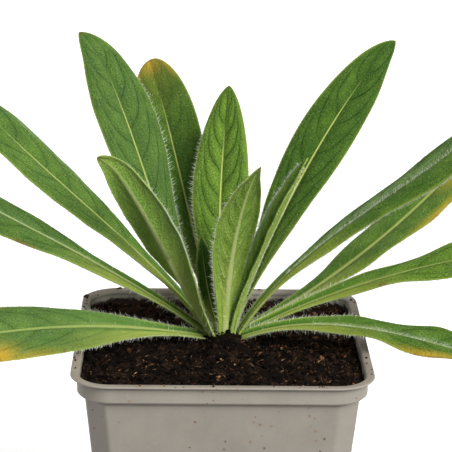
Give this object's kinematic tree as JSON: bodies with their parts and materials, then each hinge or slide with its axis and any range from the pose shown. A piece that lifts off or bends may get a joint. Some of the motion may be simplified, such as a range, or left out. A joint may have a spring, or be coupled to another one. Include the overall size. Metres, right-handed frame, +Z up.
{
  "type": "potted viper's bugloss",
  "caption": "Young viper's bugloss: a rosette of long bristly lance-shaped leaves in a square tapered nursery pot full of dark peat.",
  "frame": {"origin": "centre of the pot's underside, on the surface it stands on", "axes": "+Z up, -Y out of the side that faces the viewer, +X to the viewer's right"},
  "size_m": [0.2638, 0.1338, 0.1853],
  "materials": {
    "pot_plastic": "matte",
    "peat": "matte",
    "crown_tissue": "matte",
    "leaf_blade": "matte",
    "leaf_hair": "satin"
  },
  "bodies": {
    "root": {"pot": "pot_plastic", "soil": "peat", "crown": "crown_tissue", "leaf_low_left": "leaf_blade", "leaf_left": "leaf_blade", "leaf_left_long": "leaf_blade", "leaf_tall_left": "leaf_blade", "leaf_back": "leaf_blade", "leaf_front_left": "leaf_blade", "leaf_centre": "leaf_blade", "leaf_front_right": "leaf_blade", "leaf_folded": "leaf_blade", "leaf_tall_right": "leaf_blade", "leaf_right": "leaf_blade", "leaf_back_right": "leaf_blade", "leaf_wavy": "leaf_blade", "leaf_low_right": "leaf_blade", "leaf_inner": "leaf_blade"}
  },
  "joints": []
}
